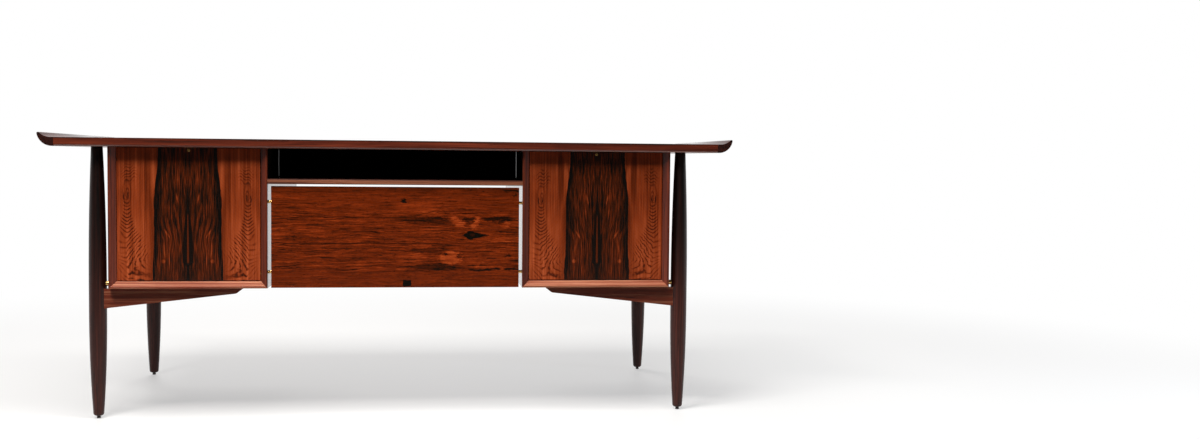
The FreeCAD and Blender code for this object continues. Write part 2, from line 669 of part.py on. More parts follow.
# A drawer side seen from outside, measured from the bottom of its front: dovetails into the front,
# and sockets at the other end for the pins of the back
def dovetailed_outline(side_low, side_high, back_end):
    pitch = (side_high - side_low) / TAILS
    half_pin = dim.pin_wide / 2
    flare = dim.tail_flare
    tip = front_back + dim.tail_deep
    outline = [(back_end, side_low), (front_back, side_low)]
    for tail in range(TAILS):
        root = (side_low + pitch * tail + half_pin, side_low + pitch * (tail + 1) - half_pin)
        outline += [(front_back, root[0]), (tip, root[0] - flare),
                    (tip, root[1] + flare), (front_back, root[1])]
    outline += [(front_back, side_high), (back_end, side_high)]
    socket_end = back_end + dim.thin_board
    for pin in range(TAILS - 1, 0, -1):
        middle = side_low + pitch * pin
        outline += [(back_end, middle + half_pin - flare), (socket_end, middle + half_pin),
                    (socket_end, middle - half_pin), (back_end, middle - half_pin + flare)]
    return outline


def make_drawer(level, low, high):
    tall = high - low
    front = new_body(f"{level}_front", (front_low, 0, low))
    nose = front_face + dim.pull_out
    outline = [(front_back, 0), (front_face, 0), (front_face, tall - dim.pull_tall),
               (nose, tall - dim.pull_nose), (nose, tall - dim.pull_round),
               (nose - dim.pull_round, tall), (front_back, tall)]
    pad(front, "YZ_Plane", outline, front_high - front_low, arcs={2: 1, 4: 3})

    side_low = low + dim.drawer_lift
    side_high = high - dim.drawer_drop
    runner_up = (side_low + side_high) / 2
    inner_low = front_low + dim.thin_board
    inner_high = front_high - dim.thin_board
    back_end = front_back - dim.drawer_long
    runner_front = front_back - dim.board_thick
    ply = board(f"{level}_ply", (inner_low - dim.ply_in, inner_high + dim.ply_in), (back_end, front_back),
                (low + dim.ply_up, low + dim.ply_up + dim.ply_thick))
    groove_half = dim.runner_tall / 2 + dim.runner_gap
    groove = board(f"{level}_groove", (front_low, front_low + dim.groove_deep),
                   (back_end, runner_front + dim.runner_gap), around(runner_up, groove_half))
    blank = new_body(f"{level}_side", (front_low, 0, low))
    side_outline = dovetailed_outline(dim.drawer_lift, tall - dim.drawer_drop, back_end)
    pad(blank, "YZ_Plane", side_outline, dim.thin_board)
    blanks = [blank, mirror(f"{level}_far_blank", blank, ALONG_X, ped_middle)]
    keep(f"right_{level}_drawer_front", cut(f"{level}_socketed_front", front, blanks))
    side = cut(f"{level}_grooved_side", blank, [groove, ply])
    back_low = low + dim.ply_up + dim.ply_thick
    back_board = board(f"{level}_back_board", (front_low, front_high), (back_end, back_end + dim.thin_board),
                       (back_low, side_high - dim.drawer_lift))
    back = cut(f"{level}_pinned_back", back_board, blanks)
    keep(f"right_{level}_drawer_box",
         group(f"{level}_box", [side, mirror(f"{level}_far_side", side, ALONG_X, ped_middle), back, ply]))

    runner = board(f"{level}_runner", (inside_low, inside_low + dim.runner_out),
                   (runner_front - dim.runner_long, runner_front), around(runner_up, dim.runner_tall / 2))
    return [runner, mirror(f"{level}_far_runner", runner, ALONG_X, ped_middle)]


def shelf_middle():
    return dim.shelf_under + dim.shelf_thick / 2


def make_kneehole():
    shelf = new_body("shelf_board", (-ped_in, -ped_face, dim.shelf_under))
    wide = dim.ped_depth - dim.shelf_back
    tall = dim.shelf_thick
    radius = dim.shelf_round
    outline = [(radius, 0), (wide - radius, 0), (wide, radius), (wide, tall - radius),
               (wide - radius, tall), (radius, tall), (0, tall - radius), (0, radius)]
    pad(shelf, "YZ_Plane", outline, dim.knee_width, arcs={1: 0, 3: 2, 5: 4, 7: 6})
    peg_bore = dim.peg_half + dim.fit_gap
    bores = [bore("shelf_peg", ALONG_X, dim.peg_rad, (ped_in - peg_bore, along, shelf_middle()), peg_bore)
             for along in peg_along]
    keep("kneehole_shelf", cut("kneehole_shelf", shelf, both_sides("shelf_peg_bore", bores)))
    peg_start = ped_in - dim.peg_half
    pegs = [rod("shelf_peg", ALONG_X, dim.peg_rad, (peg_start, along, shelf_middle()), dim.peg_half * 2)
            for along in peg_along]
    keep("shelf_dowels", group("shelf_dowels", both_sides("shelf_peg", pegs)))
    divider_end = ped_in - dim.divider_gap
    keep("shelf_divider", board("divider_board", (-divider_end, divider_end),
                                (partition_face, partition_back), (dim.shelf_under + tall, underside)))

    panel = board("panel_board", (-panel_edge, panel_edge), (panel_face, panel_face + dim.board_thick),
                  (panel_low, panel_high))
    stud_bore = dim.stud_long + dim.fit_gap
    bores = [bore("panel_end", ALONG_X, dim.panel_stud_rad, (panel_edge - stud_bore, panel_spacer_along, up),
                  stud_bore) for up in panel_spacer_ups]
    keep("modesty_panel", cut("modesty_panel", panel, both_sides("panel_end_bore", bores)))
    spacers = [spacer("panel_spacer", ALONG_X, (panel_edge, panel_spacer_along, up), dim.panel_gap,
                      dim.panel_spacer_rad, dim.panel_stud_rad) for up in panel_spacer_ups]
    keep("panel_spacers", group("panel_spacers", both_sides("panel_spacer", spacers)))


def make_top_screws():
    screws = []
    board_low = underside - dim.board_thick
    for across in screw_across:
        for along in (-dim.screw_along, dim.screw_along):
            head = rod("screw_head", ALONG_Z, dim.screw_head_rad,
                       (across, along, board_low - dim.screw_head), dim.screw_head)
            shank = rod("screw_shank", ALONG_Z, dim.screw_rad, (across, along, board_low),
                        dim.board_thick + dim.screw_bite)
            screws.append(join("top_screw", head, shank))
    keep("top_screws", group("top_screws", both_sides("top_screw", screws)))


make_top()
make_legs_and_arms()
make_leg_fittings()
make_carcass()
make_bar_floor()
make_flap()
make_lock()
runners = []
for drawer in drawer_levels():
    runners += make_drawer(*drawer)
keep("right_runners", group("drawer_runners", runners))
make_kneehole()
make_top_screws()

# The left-hand pedestal is the mirror image of the right-hand one
for node in [node for node in nodes if node.startswith("right_")]:
    left = node.replace("right_", "left_")
    keep(left, mirror(left, nodes[node], ALONG_X))
doc.recompute()

for item in doc.Objects:
    if "Invalid" in item.State or "Error" in item.State:
        raise RuntimeError(f"{item.Name} failed: {item.State}")
for node, item in nodes.items():
    if item.Shape.isNull() or not item.Shape.isValid():
        raise RuntimeError(f"{node} has no valid shape")

os.makedirs("parts", exist_ok=True)
for node, item in nodes.items():
    item.Shape.exportStep(f"parts/{node}.step")
print(f"{len(nodes)} nodes, {sum(len(item.Shape.Solids) for item in nodes.values())} solids")
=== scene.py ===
import bpy
import bmesh
from math import cos, sin
from mathutils import Matrix, Vector

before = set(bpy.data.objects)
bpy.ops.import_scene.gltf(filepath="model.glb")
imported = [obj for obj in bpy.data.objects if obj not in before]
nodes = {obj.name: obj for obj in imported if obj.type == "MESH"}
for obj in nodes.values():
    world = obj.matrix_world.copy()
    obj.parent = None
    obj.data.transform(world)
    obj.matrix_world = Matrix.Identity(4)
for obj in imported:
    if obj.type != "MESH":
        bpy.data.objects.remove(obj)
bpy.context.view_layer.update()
scene = bpy.context.scene
scene.view_settings.view_transform = "Standard"
perMetre = 1000.0  # grain and figure are drawn in millimetres
print("frame loaded:", len(nodes), "pieces")


# small helpers for building shader nodes

def paint(red, green, blue):  # screen colour 0-255 to the linear values that sockets take
    channels = [value / 255 for value in (red, green, blue)]
    return [c / 12.92 if c <= 0.04045 else ((c + 0.055) / 1.055) ** 2.4 for c in channels] + [1]


class Wire:  # one output of a node that can be used in sums
    def __init__(self, tree, socket):
        self.tree = tree
        self.socket = socket

    def __add__(self, other):
        return sums("ADD", self, other)

    def __radd__(self, other):
        return sums("ADD", other, self)

    def __sub__(self, other):
        return sums("SUBTRACT", self, other)

    def __rsub__(self, other):
        return sums("SUBTRACT", other, self)

    def __mul__(self, other):
        return sums("MULTIPLY", self, other)

    def __rmul__(self, other):
        return sums("MULTIPLY", other, self)

    def __truediv__(self, other):
        return sums("DIVIDE", self, other)


def addNode(tree, kind, inputs, **settings):
    node = tree.nodes.new("ShaderNode" + kind)
    for name, value in settings.items():
        setattr(node, name, value)
    for name, value in inputs.items():
        if isinstance(value, Wire):
            tree.links.new(value.socket, node.inputs[name])
        else:
            node.inputs[name].default_value = value
    return node


def sums(operation, *values):
    tree = next(value.tree for value in values if isinstance(value, Wire))
    node = addNode(tree, "Math", dict(enumerate(values)), operation=operation)
    return Wire(tree, node.outputs[0])


def size(value):
    return sums("ABSOLUTE", value)


def blend(amount, first, second):  # from one number to another
    return first + (second - first) * amount


def fade(value, low, high):  # 0 at low, 1 at high, soft in between
    inputs = {"Value": value, "From Min": low, "From Max": high}
    node = addNode(value.tree, "MapRange", inputs, interpolation_type="SMOOTHSTEP")
    return Wire(value.tree, node.outputs["Result"])


def bell(value, middle, reach):  # 1 at the middle, 0 a reach away
    return fade(size(value - middle), reach, 0)


def graded(place, start, *changes):  # a number with soft changes: from, to, amount
    for low, high, amount in changes:
        start = fade(place, low, high) * amount + start
    return start


def oval(across, up, middle, radii, lean=0):  # 0 in the middle of an ellipse, 1 on it
    run = across - middle[0]
    rise = up - middle[1]
    long = (run * cos(lean) + rise * sin(lean)) / radii[0]
    short = (rise * cos(lean) - run * sin(lean)) / radii[1]
    return sums("SQRT", long * long + short * short)


def blob(across, up, middle, radii, lean=0, soft=0.45):  # soft ellipse, its long axis leaning by an angle
    return fade(oval(across, up, middle, radii, lean), 1 + soft, 1 - soft)


def marks(across, up, rows):  # blobs added up: strength, middle, radii, lean, softness
    total = 0
    for strength, *shape in rows:
        total = blob(across, up, *shape) * strength + total
    return total


def noise(x, y, z=0.0, detail=2.0, rough=0.5):  # about 0, from coordinates in feature sizes
    tree = next(value.tree for value in (x, y, z) if isinstance(value, Wire))
    vector = addNode(tree, "CombineXYZ", {0: x, 1: y, 2: z})
    inputs = {"Vector": Wire(tree, vector.outputs[0]), "Scale": 1.0, "Detail": detail, "Roughness": rough}
    return Wire(tree, addNode(tree, "TexNoise", inputs).outputs[0]) - 0.5


def figure(across, up, log, seed, wide, tall, detail=2.0, rough=0.5):  # noise on a leaf, from seed and sizes
    return noise(across / wide, up / tall, log + seed, detail, rough)


def spots(tree):  # a surface point in millimetres, in the desk's own frame
    place = addNode(tree, "TexCoord", {})
    scaled = addNode(tree, "VectorMath", {0: Wire(tree, place.outputs["Object"]), "Scale": perMetre},
                     operation="SCALE")
    parts = addNode(tree, "SeparateXYZ", {0: Wire(tree, scaled.outputs[0])})
    return [Wire(tree, socket) for socket in parts.outputs]


def ramp(value, stops):
    node = addNode(value.tree, "ValToRGB", {"Fac": value})
    elements = node.color_ramp.elements
    while len(elements) < len(stops):
        elements.new(0.5)
    for element, (place, colour) in zip(elements, stops):
        element.position = place
        element.color = paint(*colour)
    return Wire(value.tree, node.outputs["Color"])


def newMaterial(name):
    material = bpy.data.materials.new(name)
    material.use_nodes = True
    material.node_tree.nodes.clear()
    return material


def shade(material, surface):
    addNode(material.node_tree, "OutputMaterial", {"Surface": Wire(material.node_tree, surface)})
    return material


# tones of the woods, from pale (0) to dark (1)
rosewoodTones = [(0.0, (206, 98, 54)), (0.28, (158, 66, 29)), (0.52, (108, 40, 12)),
                 (0.76, (58, 24, 7)), (1.0, (11, 8, 5))]
panelTones = [(0.0, (206, 90, 40)), (0.28, (154, 57, 17)), (0.52, (106, 36, 6)),
              (0.76, (58, 21, 3)), (1.0, (9, 7, 2))]
edgeTones = [(0.0, (190, 126, 95)), (0.35, (132, 58, 36)), (0.65, (90, 34, 19)), (1.0, (28, 13, 9))]
paleTones = [(0.0, (196, 134, 104)), (0.4, (158, 98, 72)), (0.7, (116, 66, 47)), (1.0, (62, 32, 24))]
legTones = [(0.0, (100, 47, 37)), (0.35, (63, 28, 21)), (0.65, (37, 17, 13)), (1.0, (10, 6, 5))]
mahoganyTones = [(0.0, (168, 104, 68)), (0.5, (132, 74, 46)), (1.0, (78, 40, 25))]
beechTones = [(0.0, (222, 184, 142)), (0.6, (200, 156, 112)), (1.0, (160, 116, 78))]
blackTones = [(0.0, (9, 8, 7)), (1.0, (2, 2, 2))]

# what every wood starts from: fine fibre, open pores, a slight sway in the grain and no lacquer
woodSpec = {"fibreWide": 0.8, "fibreLong": 42, "fibreDark": 0.16, "fibreDull": 0.16, "fibreDeep": 0.3,
            "poreWide": 0.5, "poreLong": 7, "poreDark": 0.12, "poreDull": 0.25, "poreEdge": (0.12, 0.24),
            "swayWide": 70, "swayLong": 240, "swayLift": 0.7, "lineEdge": (0.03, 0.2),
            "bump": 0.25, "bumpDeep": 0.0002, "coat": 0.0, "coatRough": 0.14, "coatIndex": 1.5}


def fibres(along, across, deep, spec):  # the fine end of any wood
    wide, long = spec["fibreWide"], spec["fibreLong"]
    fibre = noise(along / long, across / wide, deep / wide)
    wide, long = spec["poreWide"], spec["poreLong"]
    pores = fade(noise(along / long, across / wide, deep / wide, detail=1), *spec["poreEdge"])
    return fibre, pores


def streaks(along, across, deep, spec):  # straight grain: its darkness, fibre and pores
    wide = spec["swayWide"]
    sway = noise(along / spec["swayLong"], across / wide, deep / wide) * spec["wander"]
    side = across + sway
    lift = deep + sway * spec["swayLift"]
    wide, long, bandPull = spec["bands"]
    bands = noise(along / long, side / wide, lift / wide, detail=3, rough=0.6)
    wide, long, linePull = spec["lines"]
    lines = noise(along / long, side / wide, lift / wide, detail=3, rough=0.7)
    dark = bands * bandPull + fade(lines, *spec["lineEdge"]) * linePull + spec["base"]
    fibre, pores = fibres(along, side, lift, spec)
    return dark, fibre, pores


def oilWood(material, dark, fibre, pores, spec, coat=None, matt=0.0):  # the finish over a given darkness
    tree = material.node_tree
    tone = dark + fibre * spec["fibreDark"] + pores * spec["poreDark"]
    rough = fibre * spec["fibreDull"] + pores * spec["poreDull"] + matt + spec["dull"]
    bump = addNode(tree, "Bump", {"Strength": spec["bump"], "Distance": spec["bumpDeep"],
                                  "Height": fibre * -spec["fibreDeep"] - pores})
    shader = addNode(tree, "BsdfPrincipled", {
        "Base Color": ramp(tone, spec["tones"]), "Roughness": rough, "Normal": Wire(tree, bump.outputs[0]),
        "Specular IOR Level": spec["level"], "Coat Weight": coat or spec["coat"],
        "Coat Roughness": spec["coatRough"], "Coat IOR": spec["coatIndex"]})
    return shade(material, shader.outputs[0])


# straight-grained pieces, their bands and lines as width, length and strength
sideSpec = dict(woodSpec, tones=rosewoodTones, base=0.38, bands=(17, 520, 1.5), lines=(4.2, 420, 0.4),
                wander=34, dull=0.3, level=0.12)
drawerSpec = dict(woodSpec, tones=rosewoodTones, base=0.35, bands=(13, 600, 1.5), lines=(3.4, 420, 0.42),
                  wander=30, dull=0.3, level=0.12)
armSpec = dict(woodSpec, tones=edgeTones, base=0.34, bands=(9, 420, 1.2), lines=(2.6, 420, 0.3),
               wander=14, dull=0.32, level=0.22, coat=1.0, coatRough=0.08, coatIndex=1.15)
mahoganySpec = dict(woodSpec, tones=mahoganyTones, base=0.43, bands=(12, 300, 0.7), lines=(2.4, 420, 0.2),
                    wander=12, dull=0.45, level=0.2)
beechSpec = dict(woodSpec, tones=beechTones, base=0.38, bands=(10, 260, 0.6), lines=(1.6, 420, 0.15),
                 wander=6, dull=0.5, level=0.2)
blackSpec = dict(woodSpec, tones=blackTones, base=0.58, bands=(9, 300, 0.8), lines=(2.2, 420, 0.2),
                 wander=12, dull=0.6, level=0.03)


def straightWood(name, axis, spec):  # axis 0, 1 or 2 is the way the grain runs
    material = newMaterial(name)
    place = spots(material.node_tree)
    along = place.pop(axis)
    dark, fibre, pores = streaks(along, place[0], place[1], spec)
    return oilWood(material, dark, fibre, pores, spec)


topSpec = dict(woodSpec, tones=rosewoodTones, base=0.34, bands=(15, 700, 1.5), lines=(4, 420, 0.42),
               wander=36, dull=0.28, level=0.2, coat=0.35, halfDeep=388, leafWide=155.2, flat=0.1,
               pairAlong=37, pairDeep=11)


def topVeneer(spec):  # leaves laid side by side, every other one turned like a page
    material = newMaterial("rosewoodTop")
    x, y, z = spots(material.node_tree)
    start = y + spec["halfDeep"]
    leaf = sums("PINGPONG", start, spec["leafWide"])
    pair = sums("FLOOR", start / (spec["leafWide"] * 2))
    deep = z * spec["flat"] + pair * spec["pairDeep"]
    dark, fibre, pores = streaks(x + pair * spec["pairAlong"], leaf, deep, spec)
    return oilWood(material, dark, fibre, pores, spec)


edgeSpec = dict(woodSpec, tones=edgeTones, base=0.62, bands=(8, 420, 1.1), lines=(2.6, 420, 0.3),
                wander=14, dull=0.3, level=0.34, chamfer=(711.6, 710.4), chamferPaintedSheen=0.36, chamferCoat=0.6,
                rim=(726, 729), rimDarker=0.3)


def edgeWood(spec):  # the chamfer is painted paler as a reflection of the floor and given a coat, the upper arris darker
    material = newMaterial("rosewoodEdge")
    x, y, z = spots(material.node_tree)
    dark, fibre, pores = streaks(x, y, z, spec)
    chamferSheen = fade(z, *spec["chamfer"])
    # painted reflection: the downward chamfer made paler, standing in for the pale floor it reflects
    dark = dark - chamferSheen * spec["chamferPaintedSheen"] + fade(z, *spec["rim"]) * spec["rimDarker"]
    return oilWood(material, dark, fibre, pores, spec, coat=chamferSheen * spec["chamferCoat"])


lipSpec = dict(woodSpec, tones=legTones, base=0.36, bands=(8, 380, 1.2), lines=(2.2, 420, 0.35),
               wander=10, dull=0.3, level=0.16, coat=1.0, coatRough=0.07, coatIndex=1.3,
               endGrain=(398.2, 399.4), endDarker=0.17)


def lipWood(spec):  # grain across the desk, darker on the end grain
    material = newMaterial("rosewoodLip")
    x, y, z = spots(material.node_tree)
    dark, fibre, pores = streaks(y, x, z, spec)
    dark = dark + fade(size(y), *spec["endGrain"]) * spec["endDarker"]
    return oilWood(material, dark, fibre, pores, spec)


legSpec = dict(woodSpec, tones=legTones, base=0.3, bands=(8, 380, 1.2), lines=(2.2, 420, 0.35),
               wander=10, dull=0.32, level=0.26, upper=(260, 560), upperDarker=0.52)


def legWood(spec):  # turned from one log, with painted shade darkening it towards the top, under the desk top
    material = newMaterial("rosewoodLeg")
    x, y, z = spots(material.node_tree)
    dark, fibre, pores = streaks(z, x, y, spec)
    # painted shade: darker towards the top, where the desk top shades the leg
    dark = dark + fade(z, *spec["upper"]) * spec["upperDarker"]
    return oilWood(material, dark, fibre, pores, spec)


stripSpec = dict(woodSpec, tones=edgeTones, base=0.54, bands=(6, 420, 1.1), lines=(2.4, 420, 0.3),
                 wander=12, dull=0.3, level=0.3, middle=533, halfWide=200, bottom=341, sillPaleAndLit=0.33)


def stripWood(spec):  # uprights grow upwards, the sill runs along, paler as a lighter board with painted light from above, and they meet in a mitre
    material = newMaterial("rosewoodStrip")
    x, y, z = spots(material.node_tree)
    inward = spec["halfWide"] - size(size(x) - spec["middle"])
    sill = sums("GREATER_THAN", inward, z - spec["bottom"])
    dark, fibre, pores = streaks(blend(sill, z, x), blend(sill, x, z), y, spec)
    # the sill is paler: partly its own lighter board, partly painted light from above
    return oilWood(material, dark - sill * spec["sillPaleAndLit"], fibre, pores, spec)


innerSpec = dict(sideSpec, coat=1.0, coatRough=0.05, coatIndex=1.15, face=333.5, compartmentShadeSpan=(626, 627),
                 compartmentShadeDark=0.8, compartmentShadeMatt=0.35, compartmentShadeCoat=0.72)


def innerWood(spec):  # kneehole faces of the pedestals, made a flat near-black above the shelf: painted shade of the compartment
    material = newMaterial("rosewoodInner")
    x, y, z = spots(material.node_tree)
    dark, fibre, pores = streaks(z, y, x, spec)
    # painted shade: the compartment above the shelf darkened, its gloss dulled
    compartmentShade = fade(z, *spec["compartmentShadeSpan"]) * sums("LESS_THAN", size(x), spec["face"])
    return oilWood(material, dark + compartmentShade * spec["compartmentShadeDark"], fibre, pores, spec,
                   coat=spec["coat"] - compartmentShade * spec["compartmentShadeCoat"], matt=compartmentShade * spec["compartmentShadeMatt"])


shelfSpec = dict(armSpec, tones=paleTones, base=0.45, coat=0.0, compartmentShadeSpan=(623.5, 627.5), compartmentShadeDark=0.8,
                 compartmentShadeMatt=0.4)


def shelfWood(spec):  # pale front edge, upper face made black and matt: painted shade of the compartment
    material = newMaterial("rosewoodShelf")
    x, y, z = spots(material.node_tree)
    dark, fibre, pores = streaks(x, y, z, spec)
    # painted shade: the shelf's upper face darkened inside the compartment
    compartmentShade = fade(z, *spec["compartmentShadeSpan"])
    return oilWood(material, dark + compartmentShade * spec["compartmentShadeDark"], fibre, pores, spec,
                   matt=compartmentShade * spec["compartmentShadeMatt"])


boxSpec = dict(mahoganySpec, backEnd=-58)


def boxWood(spec):  # drawer boxes: sides and bottom along the drawer, the back across it
    material = newMaterial("mahoganyBox")
    x, y, z = spots(material.node_tree)
    back = sums("LESS_THAN", y, spec["backEnd"])
    dark, fibre, pores = streaks(blend(back, y, x), blend(back, x, y), z, spec)
    return oilWood(material, dark, fibre, pores, spec)


# fall flap: two leaves opened like a book at a seam, dark heartwood inside, a cathedral at each side;
# u counts outwards from the seam and z upwards, and rows of figures and marks begin with their strength
flapSpec = dict(
    woodSpec, tones=rosewoodTones, dull=0.26, level=0.2, seam=536, drop=6, otherLog=5.3,
    figures=[(0.8, 0, 300, 7, 4, 0.65), (0.4, 4, 150, 2.6), (0.22, 2, 60, 24)],
    sapwoodAndPaintedLight=(0.36, (600, 400, -0.15), (630, 655, -0.06), (480, 555, 0.03), (555, 630, -0.03)),
    sapMarks=[(-0.14, (81, 610), (5, 60), -0.08), (0.16, (100, 640), (8, 70))],
    besideHeart=(120, 92), besideDark=(0, (620, 500, 0.16)),
    heartEdge=(74, (690, 560, 11), (450, 380, 4)), edgeSeed=7, edgeLong=30, edgeWaver=5, edgeSoft=0.8,
    rings=dict(
        crown=152, crownRound=20, crossing=3, spacing=9.2, lineEdge=(0.22, 0.44), faint=0.03,
        wave=(0, 34, 40), waveShift=8, ripple=(0, 11, 9, 3, 0.6), rippleShift=4,
        innerSlope=(0.95, (500, 430, 0.15), (425, 370, -1.2)),
        outerSlope=(0.95, (500, 455, -0.75), (425, 395, 0.7)),
        fanFrom=485, fanSpread=0.72, ringRipple=5, ringWave=(6, (500, 430, 10)),
        innerReach=(10, (560, 500, 9), (515, 440, 44)), outerReach=(10, (560, 500, 9), (500, 470, 6)),
        reachSoft=0.55, tip=(585, 545), pull=(0.43, (500, 430, 0.04)), outerLoss=(0, (510, 470, 0.55)),
        worn=(9, 10, 12), wornEdge=(-0.14, 0.1), wornLeast=(0.5, (500, 430, -0.3)),
        swirl=dict(slope=0.35, start=134, long=3.4, high=-3, wave=16, ripple=9, level=689, apart=4.5,
                   lineEdge=(2.0, 0.6), spot=[(0.3, (147, 640), (17, 22))]),
        eyes=[(0.2, (150.6, 587), (4, 13), 0.4), (0.1, (152, 590), (10, 30), 0.3)],
        slitRipple=5, slits=[(0.5, (149.5, 583), (1.3, 8)), (0.5, (159.5, 580), (1.3, 9))]),
    heart=dict(
        base=0.73, wave=(5, 26, 60), bend=9, bendUp=(462, 528), bendMiddle=50, bendReach=46, bendWave=7,
        figures=[(1.3, 3, 3.6, 90, 4, 0.68), (1.0, 8, 2.2, 36)],
        middleReach=28, middleDark=(0, (640, 560, 0.12)), rimDark=(0, (13, 2, 0.19)),
        marks=[(0.15, (76, 560), (14, 150)), (-0.1, (55, 430), (20, 50)), (-0.3, (62, 411), (5, 5)),
               (-0.26, (52, 483), (13, 2.2), 1.0), (-0.26, (65, 480), (12, 2.2), 1.35),
               (-0.26, (59, 440), (18, 1.8), 1.5), (-0.26, (27, 576), (13, 1.8), 1.35),
               (-0.26, (31, 538), (16, 1.8), 1.5)],
        flame=(0, (606, 430, 11.5), (620, 590, 1.4)), flameFoot=(1, (409, 398, -0.72)), flameWave=0.6,
        flameSoft=1.2, flameDark=0.98, tongue=(1.2, (532, 420, 1.4)), tongueFoot=(402, 410),
        tongueTip=(540, 528), tongueSoft=0.7, tongueDark=0.6))


def flapRings(u, z, log, spec):  # growth lines outside the heart: swirls at the top, then cups, then a fan
    wave = figure(u, z, log, *spec["wave"])
    ripple = figure(u, z, log, *spec["ripple"])
    off = u - spec["crown"] + wave * spec["waveShift"] + ripple * spec["rippleShift"]
    outside = fade(off, -spec["crossing"], spec["crossing"])
    slope = blend(outside, graded(z, *spec["innerSlope"]), graded(z, *spec["outerSlope"]))
    rise = sums("SQRT", off * off + spec["crownRound"]) * slope
    fan = sums("MINIMUM", z, spec["fanFrom"]) * spec["fanSpread"]  # lines stand wider apart in the fan
    ring = fan + sums("MAXIMUM", z, spec["fanFrom"]) - rise
    ring = ring + ripple * spec["ringRipple"] + wave * graded(z, *spec["ringWave"])
    line = fade(sums("PINGPONG", ring / spec["spacing"], 0.5), *spec["lineEdge"])

    reach = blend(outside, graded(z, *spec["innerReach"]), graded(z, *spec["outerReach"]))
    pull = fade(size(off), reach, reach * spec["reachSoft"]) * fade(z, *spec["tip"])
    pull = pull * graded(z, *spec["pull"]) * (1 - outside * graded(z, *spec["outerLoss"]))
    worn = fade(figure(u, z, log, *spec["worn"]), *spec["wornEdge"])  # lines thin out here and there
    dark = line * (pull + spec["faint"]) * blend(worn, graded(z, *spec["wornLeast"]), 1)

    swirl = spec["swirl"]
    curve = sums("COSINE", (u - swirl["start"]) / swirl["long"]) * swirl["high"]
    curve = curve + z + u * swirl["slope"] + wave * swirl["wave"] + ripple * swirl["ripple"]
    curl = fade(sums("PINGPONG", curve - swirl["level"], swirl["apart"]), *swirl["lineEdge"])
    dark = dark + curl * marks(u, z, swirl["spot"])
    for strength, middle, radii, wide in spec["eyes"]:
        dark = dark + bell(oval(u, z, middle, radii), 1, wide) * strength
    return dark + marks(u + ripple * spec["slitRipple"], z, spec["slits"])


def flapHeart(u, z, log, edge, spec):  # heartwood: black and orange streaks round a central flame
    wave = figure(u, z, log, *spec["wave"])
    bend = fade(z, *spec["bendUp"]) * bell(u, spec["bendMiddle"], spec["bendReach"]) * spec["bend"]
    bent = u - bend + wave * spec["bendWave"]
    dark = bell(u, 0, spec["middleReach"]) * graded(z, *spec["middleDark"]) + spec["base"]
    for strength, *shape in spec["figures"]:
        dark = dark + figure(bent, z, log, *shape) * strength
    dark = dark + graded(edge - u, *spec["rimDark"]) + marks(u, z, spec["marks"])

    flameWide = graded(z, *spec["flame"]) * graded(z, *spec["flameFoot"]) * (wave * spec["flameWave"] + 1)
    flame = fade(flameWide - u, -spec["flameSoft"], spec["flameSoft"])
    dark = blend(flame, dark, spec["flameDark"])
    tongue = fade(graded(z, *spec["tongue"]) - u, -spec["tongueSoft"], spec["tongueSoft"])
    tongue = tongue * fade(z, *spec["tongueFoot"]) * fade(z, *spec["tongueTip"])
    return blend(tongue, dark, spec["tongueDark"])


def flapVeneer(spec):
    material = newMaterial("rosewoodFlap")
    x, y, z = spots(material.node_tree)
    u = size(size(x) - spec["seam"])
    log = sums("GREATER_THAN", 0.0, x) * spec["otherLog"]  # the left flap is cut elsewhere in the log
    lower = z + sums("LESS_THAN", size(x), spec["seam"]) * spec["drop"]  # one leaf slipped down a little
    # painted light over the sapwood's own tone: paler towards the bottom and just below the top's shadow
    outer = flapRings(u, lower, log, spec["rings"]) + graded(z, *spec["sapwoodAndPaintedLight"])
    for strength, *shape in spec["figures"]:
        outer = outer + figure(z, u, log, *shape) * strength
    outer = outer + marks(u, z, spec["sapMarks"])
    outer = outer + fade(u, *spec["besideHeart"]) * graded(z, *spec["besideDark"])

    waver = noise(z / spec["edgeLong"], log + spec["edgeSeed"])
    edge = graded(z, *spec["heartEdge"]) + waver * spec["edgeWaver"]
    inside = fade(edge - u, -spec["edgeSoft"], spec["edgeSoft"])
    dark = blend(inside, outer, flapHeart(u, z, log, edge, spec["heart"]))
    fibre, pores = fibres(z, u, y, spec)
    return oilWood(material, dark, fibre, pores, spec)


